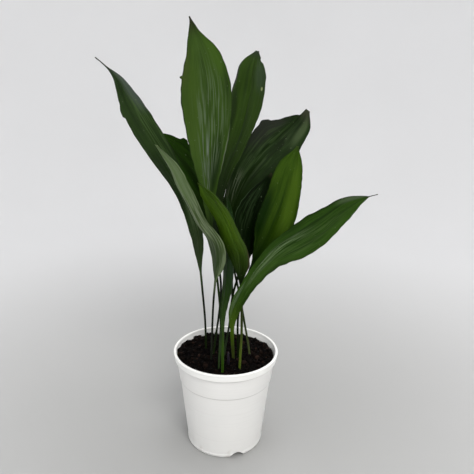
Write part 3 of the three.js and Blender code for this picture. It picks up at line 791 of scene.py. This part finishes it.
def wall_radius(height):
    """The inside radius of the pot's wall near its rim."""
    neck, rim = NECK_RADIUS - WALL, RIM_RADIUS - RIM_WIDTH
    share = (height - NECK_HEIGHT) / (POT_HEIGHT - RIM_WIDTH - NECK_HEIGHT)
    return neck + (rim - neck) * share


def soil_body():
    """Points and faces of the filling: the pot's inside below, and a crumbled surface above."""
    floor = FLOOR_RAISE + WALL + SOIL_GAP
    buried = [
        (PAD_RADIUS - PAD_SLOPE - SOIL_GAP, WALL + SOIL_GAP),
        (PAD_RADIUS - SOIL_GAP, floor),
        (FOOT_RADIUS - WALL - FLOOR_CORNER - SOIL_GAP, floor),
        (FOOT_RADIUS - WALL - 2 * SOIL_GAP, floor + FLOOR_CORNER),
        (BAND_RADIUS - BAND_STEP - WALL - 2 * SOIL_GAP, BAND_HEIGHT),
        (NECK_RADIUS - WALL - 2 * SOIL_GAP, NECK_HEIGHT - CRUMBS_DEPTH),
    ]
    lines = turned(buried, SOIL_SPOKES)
    for line, (x, y) in zip(lines, spokes(SOIL_SPOKES)):
        edge = wall_radius(soil_height(x * NECK_RADIUS, y * NECK_RADIUS)) - SOIL_GAP
        edge -= EDGE_GAPS_DEPTH * abs(noise.noise(Vector((x, y, 0)) * EDGE_GAPS))
        for ring in range(SOIL_RINGS, 0, -1):
            radius = edge * ring / SOIL_RINGS
            line.append((radius * x, radius * y, crumbled_height(radius * x, radius * y)))
    return round_body(lines, [(0, 0, WALL + SOIL_GAP), (0, 0, crumbled_height(0, 0))])


def inside_wall(points):
    """The points, with those that reach through the pot's wall pressed back inside it."""
    radius = np.hypot(points[:, 0], points[:, 1])
    most = np.array([wall_radius(height) for height in points[:, 2]]) - SOIL_GAP
    share = np.minimum(1, most / np.maximum(radius, SOIL_GAP))
    return points * np.stack([share, share, np.ones_like(share)], axis=1)


def ball(subdivisions):
    """Points and faces of a unit icosphere."""
    made = bmesh.new()
    bmesh.ops.create_icosphere(made, subdivisions=subdivisions, radius=1)
    points = np.array([vertex.co[:] for vertex in made.verts])
    faces = np.array([[vertex.index for vertex in face.verts] for face in made.faces])
    made.free()
    return points, faces


def random_turn(draw):
    axis = Vector((draw.gauss(0, 1), draw.gauss(0, 1), draw.gauss(0, 1))).normalized()
    return np.array(Matrix.Rotation(draw.uniform(0, math.tau), 3, axis))


def soil_scatter(draw):
    """Loose crumbs and fibres on the soil: for each its points, its faces and how dry it looks."""
    for count, subdivisions, smallest, largest, nearest in CLODS:
        shape, faces = ball(subdivisions)
        for _ in range(count):
            size = smallest + (largest - smallest) * draw.random() ** CLOD_SIZE_POWER
            turn = draw.uniform(0, math.tau)
            reach = wall_radius(SOIL_LEVEL) - SOIL_GAP - CLOD_MARGIN * size
            radius = reach * (nearest + (1 - nearest) * math.sqrt(draw.random()))
            x, y = radius * math.cos(turn), radius * math.sin(turn)
            seed = Vector((draw.uniform(0, CLOD_SEEDS), 0, 0))
            lumps = [noise.noise(Vector(point) * CLOD_LUMPS + seed) for point in shape]
            stretch = np.array([draw.uniform(*limits) for limits in CLOD_STRETCH])
            bumpy = shape * (1 + CLOD_LUMP_HEIGHT * np.array(lumps)[:, None])
            points = (bumpy * stretch * size) @ random_turn(draw).T
            raised = draw.uniform(*CLOD_RAISED) * size
            points = inside_wall(points + (x, y, crumbled_height(x, y) + raised))
            yield points, faces, draw.random()
    shape, faces = ball(1)
    for _ in range(SLIVERS):
        length = draw.uniform(*SLIVER_HALF_LENGTHS)
        turn, lean = draw.uniform(0, math.tau), draw.uniform(-SLIVER_LEAN, SLIVER_LEAN)
        radius = (wall_radius(SOIL_LEVEL) - length - 2 * SOIL_GAP) * math.sqrt(draw.random())
        place = draw.uniform(0, math.tau)
        x, y = radius * math.cos(place), radius * math.sin(place)
        lying = Matrix.Rotation(turn, 3, "Z") @ Matrix.Rotation(lean, 3, "Y")
        points = (shape * (length, SLIVER_HALF_WIDTH, SLIVER_HALF_HEIGHT)) @ np.array(lying).T
        yield points + (x, y, crumbled_height(x, y) + SLIVER_HALF_WIDTH), faces, SLIVER_SHADE


def potting_soil():
    """Moist black peat, with browner clods and a few that are dry and pale."""
    graph = Graph("crumbly_potting_soil")
    place = graph.place()
    shade = graph.attribute("shade")
    grain = graph.noise(place, scale=420, detail=5)
    patches = graph.noise(place, scale=60, detail=3)
    graph.tint = graph.mix(grain, *PEAT_BLACKS)
    graph.lay(graph.band(patches, 0.45, 0.7), PEAT_PATCH)
    graph.lay(graph.band(shade, 0.4, 0.9), CLOD_BROWN, 0.25)
    graph.lay(graph.band(shade, 0.86, 1.0), CLOD_DRY, 0.35)
    graph.bump(graph.noise(place, scale=1500, detail=4), strength=0.5, distance=0.0006)
    roughness = graph.spread(grain, 0.7, 1.0)
    return graph.finish(Roughness=roughness, Specular_IOR_Level=0.06)


def make_soil():
    draw = random.Random(SOIL_SEED)
    points, faces = soil_body()
    shades = [SOIL_SHADE] * len(points)
    for more_points, more_faces, shade in soil_scatter(draw):
        faces.extend((more_faces + len(points)).tolist())
        points.extend(more_points.tolist())
        shades.extend([shade] * len(more_points))
    piece = mesh_piece("soil_crumbled", points, faces, potting_soil(), {"shade": shades})
    dress(piece, "soil")


# Leaves

def between(start, end, leave, arrive, part):
    """A smooth curve from start to end, that leaves and arrives at the two speeds."""
    bend = 3 * (end - start) - 2 * leave - arrive
    rest = 2 * (start - end) + leave + arrive
    return start + leave * part + bend * part**2 + rest * part**3


def spline_value(values, share):
    """Value at a share of the way along evenly spaced values, on a smooth curve through them."""
    last = len(values) - 1
    place = np.clip(share, 0, 1) * last
    first = np.minimum(place.astype(int), last - 1)
    part = place - first
    padded = np.array([values[0], *values, values[-1]])
    before, start, end, after = (padded[first + step] for step in range(4))
    return between(start, end, (end - before) / 2, (after - start) / 2, part)


def midrib_line(points, samples=60):
    """A smooth curve through the points, as many close points with their share of its length."""
    padded = np.array([2 * points[0] - points[1], *points, 2 * points[-1] - points[-2]])
    part = np.linspace(0, 1, samples, endpoint=False)[:, None]
    line = []
    for before, start, end, after in zip(padded, padded[1:], padded[2:], padded[3:]):
        gaps = [math.sqrt(np.linalg.norm(step)) for step in (start - before, end - start, after - end)]
        leave = (start - before) / gaps[0] - (end - before) / (gaps[0] + gaps[1]) + (end - start) / gaps[1]
        arrive = (end - start) / gaps[1] - (after - start) / (gaps[1] + gaps[2]) + (after - end) / gaps[2]
        line.append(between(start, end, leave * gaps[1], arrive * gaps[1], part))
    line = np.concatenate([*line, points[-1:]])
    lengths = np.concatenate([[0], np.cumsum(np.linalg.norm(np.diff(line, axis=0), axis=1))])
    return line, lengths / lengths[-1], lengths[-1]


def smoothstep(value):
    value = np.clip(value, 0, 1)
    return value * value * (3 - 2 * value)


def unit(vectors):
    return vectors / np.linalg.norm(vectors, axis=-1, keepdims=True)


def leaf_frame(leaf, shares, blade):
    """Along the leaf: its midrib, and the directions across it and out of its upper side."""
    x, y = leaf["root"]
    points = np.array([(x, y, SOIL_LEVEL - BURIED), (x, y, SOIL_LEVEL), *leaf["midrib"]])
    line, at, length = midrib_line(points)
    ways = unit(np.gradient(line, axis=0))
    centre, ahead = (np.stack([np.interp(shares, at, values) for values in read.T], axis=1)
                     for read in (line, ways))
    ahead = unit(ahead)
    level = unit(np.cross(ahead, FRONT))
    turn = np.radians(spline_value(leaf["turn"], blade))[:, None]
    across = level * np.cos(turn) + np.cross(ahead, level) * np.sin(turn)
    return centre, across, np.cross(across, ahead), length


def margin_shift(blade, side, tears, seed):
    """How far one margin lies outside its plain line along the leaf."""
    places = [Vector((UNEVEN_MARGIN_STEPS * share, side, seed)) for share in blade]
    shift = UNEVEN_MARGIN * np.array([noise.noise(place) for place in places])
    for torn_side, start, end, depth in tears:
        share = (blade - start) / (end - start)
        torn = smoothstep(share / TEAR_RISES_BY) * smoothstep((1 - share) / TEAR_ENDS_WITHIN)
        shift = shift + depth * torn * (torn_side == side)
    return shift


def relief(columns, rows, across_steps, along_steps, seed):
    """Smooth random heights from about -1 to 1 on the leaf's grid."""
    return np.array([
        [2 * noise.noise(Vector((across_steps * x, along_steps * y, seed))) for x in columns]
        for y in rows
    ])


def leaf_surface(leaf, seed):
    """The upper and under points of a leaf, station by column, with what its finish reads of them."""
    begin = leaf["blade_from"]
    shares = np.concatenate([
        np.linspace(0, begin, STALK_STATIONS, endpoint=False),
        np.linspace(begin, 1, BLADE_STATIONS),
    ])
    signed_blade = (shares - begin) / (1 - begin)
    blade = np.maximum(0, signed_blade)
    open_share = smoothstep(blade / OPENS_BY)[:, None]
    centre, across, up, length = leaf_frame(leaf, shares, blade)

    out = np.linspace(0, 1, SIDE_COLUMNS + 1) ** COLUMN_CROWDING
    column = np.concatenate([-out[:0:-1], out])[None, :]
    out, side = np.abs(column), np.sign(column)

    grown = np.minimum(1, shares / begin)
    stalk_half = (leaf["stalk_foot"] + (leaf["half_widths"][0] - leaf["stalk_foot"]) * grown)[:, None]
    half = np.maximum(TIP_HALF_WIDTH, spline_value(leaf["half_widths"], blade))[:, None]
    half = np.where(blade[:, None] > 0, half, stalk_half)
    rib_half = np.minimum(half, stalk_half + (RIB_HALF_WIDTH - stalk_half) * open_share)
    rib = (RIB_AT_BASE + (RIB_AT_TIP - RIB_AT_BASE) * blade)[:, None]
    depth = STALK_DEPTH * stalk_half * (1 - open_share) + rib * open_share
    skew = spline_value(leaf["skew"], blade)[:, None]
    left, right = (margin_shift(blade, way, leaf["tears"], seed)[:, None] for way in (-1, 1))
    beyond_rib = smoothstep((out * half - rib_half) / (RIB_BORDER * half))
    shift = np.where(side > 0, right, left) * np.minimum(1, open_share + STALK_UNEVENNESS)
    distance = out * (half * (1 + side * skew * beyond_rib) + shift * out**2)
    bend = np.radians(open_share * (leaf["fold"] + leaf["curl"] * out / 2))
    fading = open_share * (1 - blade[:, None])
    wave = leaf["ripple"] * fading * out**2 * np.sin(side + RIPPLES * blade[:, None])
    pleats = PLEAT_HEIGHT * relief(column[0], blade, PLEATS, PLEAT_LENGTHS, seed)
    swell = SWELL_HEIGHT * relief(column[0], blade, SWELLS, SWELL_LENGTHS, seed + SWELL_SEED)
    uneven = (pleats + swell) * open_share * smoothstep(half / UNEVEN_HALF_WIDTH)
    belly = np.sqrt(np.maximum(0, 1 - (distance / rib_half) ** 2))
    dome = STALK_DOME * stalk_half * (1 - open_share) * np.sqrt(np.maximum(0, 1 - out**2))
    blade_thickness = BLADE_EDGE + (BLADE_MIDDLE - BLADE_EDGE) * (1 - out)
    thickness = blade_thickness + (depth - BLADE_MIDDLE) * belly
    groove = RIB_GROOVE_DEPTH * open_share * np.exp(-((distance / RIB_HALF_WIDTH) ** 2))

    sideways = side * distance * np.cos(bend)
    upwards = distance * np.sin(bend) + wave + uneven
    surface = centre[:, None, :] + across[:, None, :] * sideways[..., None]
    upper = surface + up[:, None, :] * (upwards + dome - groove)[..., None]
    under = surface + up[:, None, :] * (upwards - thickness)[..., None]
    reads = {
        "across": np.broadcast_to(column, distance.shape),
        "along": np.broadcast_to(signed_blade[:, None], distance.shape),
        "reach": np.broadcast_to((shares * length)[:, None], distance.shape),
    }
    return upper, under, reads


def leaf_faces(rows, columns):
    """Faces of a closed leaf whose points are its upper grid and then its under grid."""
    size = rows * columns
    faces = []
    for row in range(rows - 1):
        for low in range(row * columns, (row + 1) * columns - 1):
            high = low + columns
            faces.append((low, low + 1, high + 1, high))
            faces.append((size + low, size + high, size + high + 1, size + low + 1))
        low, high = row * columns, (row + 1) * columns
        faces.append((low, high, size + high, size + low))
        low, high = low + columns - 1, high + columns - 1
        faces.append((low, size + low, size + high, high))
    first, last = range(columns), range((rows - 1) * columns, size)
    faces.append((*(size + point for point in first), *reversed(first)))
    faces.append((*last, *(size + point for point in reversed(last))))
    return faces


def oval(graph, where, middle, half_size, strength):
    """From 0 outside an oval on the leaf to its strength inside it, with a soft border."""
    from_middle = graph.vectors("SUBTRACT", where, (*middle, 0))
    scaled = graph.vectors("DIVIDE", from_middle, (*half_size, 1))
    distance = graph.vectors("LENGTH", scaled, output="Value")
    return graph.times(graph.band(distance, 1.0, OVAL_CORE), strength)


def leaf_material(name, leaf, seed):
    """Veins, painted sheen in streaks, patches, painted shade at the foot, dark margins, a dried tip, the
    stalk.
    """
    graph = Graph(name)
    across, along, under, reach = map(graph.attribute, ("across", "along", "under", "reach"))
    where = graph.node("ShaderNodeCombineXYZ", {"X": across, "Y": along})

    def lengthwise(per_half, per_length, detail):
        """Noise drawn out along the blade, with so many grains across half of it and along it."""
        stretched = graph.vectors("MULTIPLY", where, (per_half, per_length, 0))
        return graph.noise(graph.vectors("ADD", stretched, (0, 0, seed)), scale=1, detail=detail)

    threads = lengthwise(THREADS, THREAD_LENGTHS, 2)
    stripes = lengthwise(leaf["stripes"], STRIPE_LENGTHS, 1)
    bands = lengthwise(BANDS, BAND_LENGTHS, 1)
    drift = graph.noise(graph.place(), scale=11, detail=2)
    ribbed = graph.maths("ADD", graph.times(threads, 0.3), stripes)
    lines = graph.band(ribbed, leaf["lines_from"], leaf["lines_from"] + LINE_BORDER)

    graph.tint = graph.mix(graph.band(drift, 0.35, 0.65), leaf["base"], leaf["second"])
    graph.lay(graph.band(bands, 0.5, 0.68), leaf["second"], 0.7)
    graph.lay(graph.band(bands, 0.48, 0.3), leaf["dark"], 0.6)
    graph.lay(graph.band(threads, 0.52, 0.3), leaf["dark"], 0.6)
    # The blade's foot: painted shade where a leaf's foot colour is darker than its blade.
    graph.lay(graph.band(along, leaf["foot_to"], 0.0), leaf["foot"])
    pale_lines = graph.mix(graph.band(stripes, 0.42, 0.6), leaf["under"], leaf["under_line"])
    # Patches: some are the leaf's own colour, some painted sheen and some painted shade.
    for patch_colour, *oval_shape in leaf["patches"]:
        share = oval(graph, where, *oval_shape)
        graph.lay(share, patch_colour)
        pale_lines = graph.mix(share, pale_lines, patch_colour)
    # Painted sheen, broken up into lines along the veins.
    for sheen_colour, *oval_shape in leaf["sheen_streaks"]:
        graph.lay(oval(graph, where, *oval_shape), sheen_colour, lines)
    near_margin = graph.band(graph.maths("ABSOLUTE", across), MARGIN_FROM, 1.0)
    graph.lay(near_margin, MARGIN_GREEN, 0.6)
    graph.lay(graph.band(along, leaf["tip_from"], 1.0), leaf["tip"])
    specks = graph.band(graph.noise(graph.place(), scale=330, detail=0), 0.8, 0.86)
    graph.lay(specks, SPECK_GREY, 0.3)
    graph.lay(under, pale_lines)
    stalk = graph.mix(graph.band(reach, BURIED, STALK_COLOUR_CHANGES), leaf["stalk_low"], leaf["stalk"])
    graph.lay(graph.band(along, 0.0, STALK_COLOUR_ENDS), stalk)

    rough = graph.maths("ADD", graph.spread(bands, 0.36, 0.54), graph.times(under, 0.12))
    relief_height = graph.maths("ADD", graph.times(threads, 0.5), stripes)
    graph.bump(relief_height, strength=0.5, distance=0.0006)
    return graph.finish(Roughness=rough, Specular_IOR_Level=leaf["gloss"])


def make_leaf(node, leaf, seed):
    upper, under, reads = leaf_surface(leaf, seed)
    rows, columns = upper.shape[:2]
    points = np.concatenate([upper.reshape(-1, 3), under.reshape(-1, 3)])
    attributes = {key: np.tile(values.ravel(), 2) for key, values in reads.items()}
    attributes["under"] = np.repeat([0.0, 1.0], rows * columns)
    material = leaf_material(node + "_finish", leaf, seed)
    piece = mesh_piece(node + "_grown", points, leaf_faces(rows, columns), material, attributes)
    dress(piece, node)


# New shoot

def purple_shoot():
    """Fine dark lines up the rolled leaf, which is earthy at its foot."""
    graph = Graph("purple_shoot_sheath")
    lines = graph.noise(graph.stretched(graph.place(), SHEATH_STRETCH), scale=900, detail=3)
    foot = graph.band(graph.height(), SOIL_LEVEL + SHEATH_EARTH_REACH, SOIL_LEVEL)
    graph.tint = graph.mix(lines, *SHEATH_PURPLES)
    graph.lay(foot, SHEATH_EARTH)
    graph.bump(lines, strength=0.4, distance=0.0003)
    return graph.finish(Roughness=0.45)


def make_shoot():
    """A slim cone of a rolled leaf, whose outer edge winds up round it as a low step."""
    rows, segments = 40, 48
    x, y = SHOOT_PLACE
    lines = []
    for spoke, (out_x, out_y) in enumerate(spokes(segments)):
        line = []
        for row in range(rows + 1):
            share = row / rows
            height = -SHOOT_BURIED + (SHOOT_HEIGHT + SHOOT_BURIED) * share
            above = min(1.0, max(0.0, height / SHOOT_HEIGHT))
            radius = SHOOT_RADIUS * math.cos(math.asin(above)) ** SHOOT_BLUNTNESS
            wound = (spoke / segments - SHOOT_WINDING * share) % 1
            wide = max(SHOOT_TIP_RADIUS, radius * (1 - SHOOT_STEP * (1 - wound)))
            line.append((x + wide * out_x, y + wide * out_y, SOIL_LEVEL + height))
        lines.append(line)
    points, faces = round_body(lines, [(x, y, lines[0][0][2]), (x, y, lines[0][-1][2])])
    piece = mesh_piece("new_shoot_rolled", points, faces, purple_shoot())
    dress(piece, "new_shoot")


# Studio

def make_backdrop():
    """A pale round floor that curves up into a wall all round the plant, with painted shade darkening it
    towards the plant.
    """
    radius, corner, height = 2.7, 1.2, 2.6
    steps, segments = 16, 96
    profile = []
    for step in range(steps + 1):
        turn = math.pi / 2 * step / steps
        profile.append((radius - corner * (1 - math.sin(turn)), corner * (1 - math.cos(turn))))
    profile.append((radius, height))
    lines = turned(profile, segments)
    points, faces = round_body(lines[::-1], [(0, 0, 0)])
    graph = Graph("pale_backdrop")
    place = graph.place()
    distance = graph.vectors("LENGTH", place, output="Value")
    # Painted shade: darker near the plant, paler further out.
    graph.tint = graph.mix(graph.band(distance, *BACKDROP_SHADE_FADES), *BACKDROP_SHADE_TO_PALE)
    graph.lay(graph.noise(place, scale=1.2, detail=2), BACKDROP_CLOUDS, 0.1)
    floor = mesh_piece("backdrop", points, faces, graph.finish(Roughness=0.9))


def light_studio():
    for name, (place, size, power, tint) in LIGHTS.items():
        data = bpy.data.lights.new(name, "AREA")
        data.shape = "DISK"
        data.size = size
        data.energy = power
        data.color = tint
        light = add_object(name, data)
        light.location = place
        light.visible_camera = False
        light.rotation_euler = (Vector(LIT_PLACE) - Vector(place)).to_track_quat("-Z", "Y").to_euler()
    world = bpy.data.worlds.new("studio")
    world.use_nodes = True
    background = world.node_tree.nodes["Background"]
    background.inputs["Color"].default_value = SKY_TINT
    background.inputs["Strength"].default_value = SKY_STRENGTH
    bpy.context.scene.world = world
    bpy.context.scene.view_settings.view_transform = "Standard"


def add_camera():
    data = bpy.data.cameras.new("camera")
    data.lens = data.sensor_width * FOCAL_SHARE
    data.clip_end = 50
    camera = add_object("camera", data)
    tilt = Matrix.Rotation(math.pi / 2 - CAMERA_PITCH, 4, "X")
    roll = Matrix.Rotation(CAMERA_ROLL, 4, "Z")
    camera.matrix_world = Matrix.Translation(CAMERA_PLACE) @ tilt @ roll
    bpy.context.scene.camera = camera


make_pot()
make_soil()
for number, (node, leaf) in enumerate(LEAVES.items()):
    make_leaf(node, PLAIN_LEAF | leaf, LEAF_SEED_STEP * number)
make_shoot()
make_backdrop()
light_studio()
add_camera()
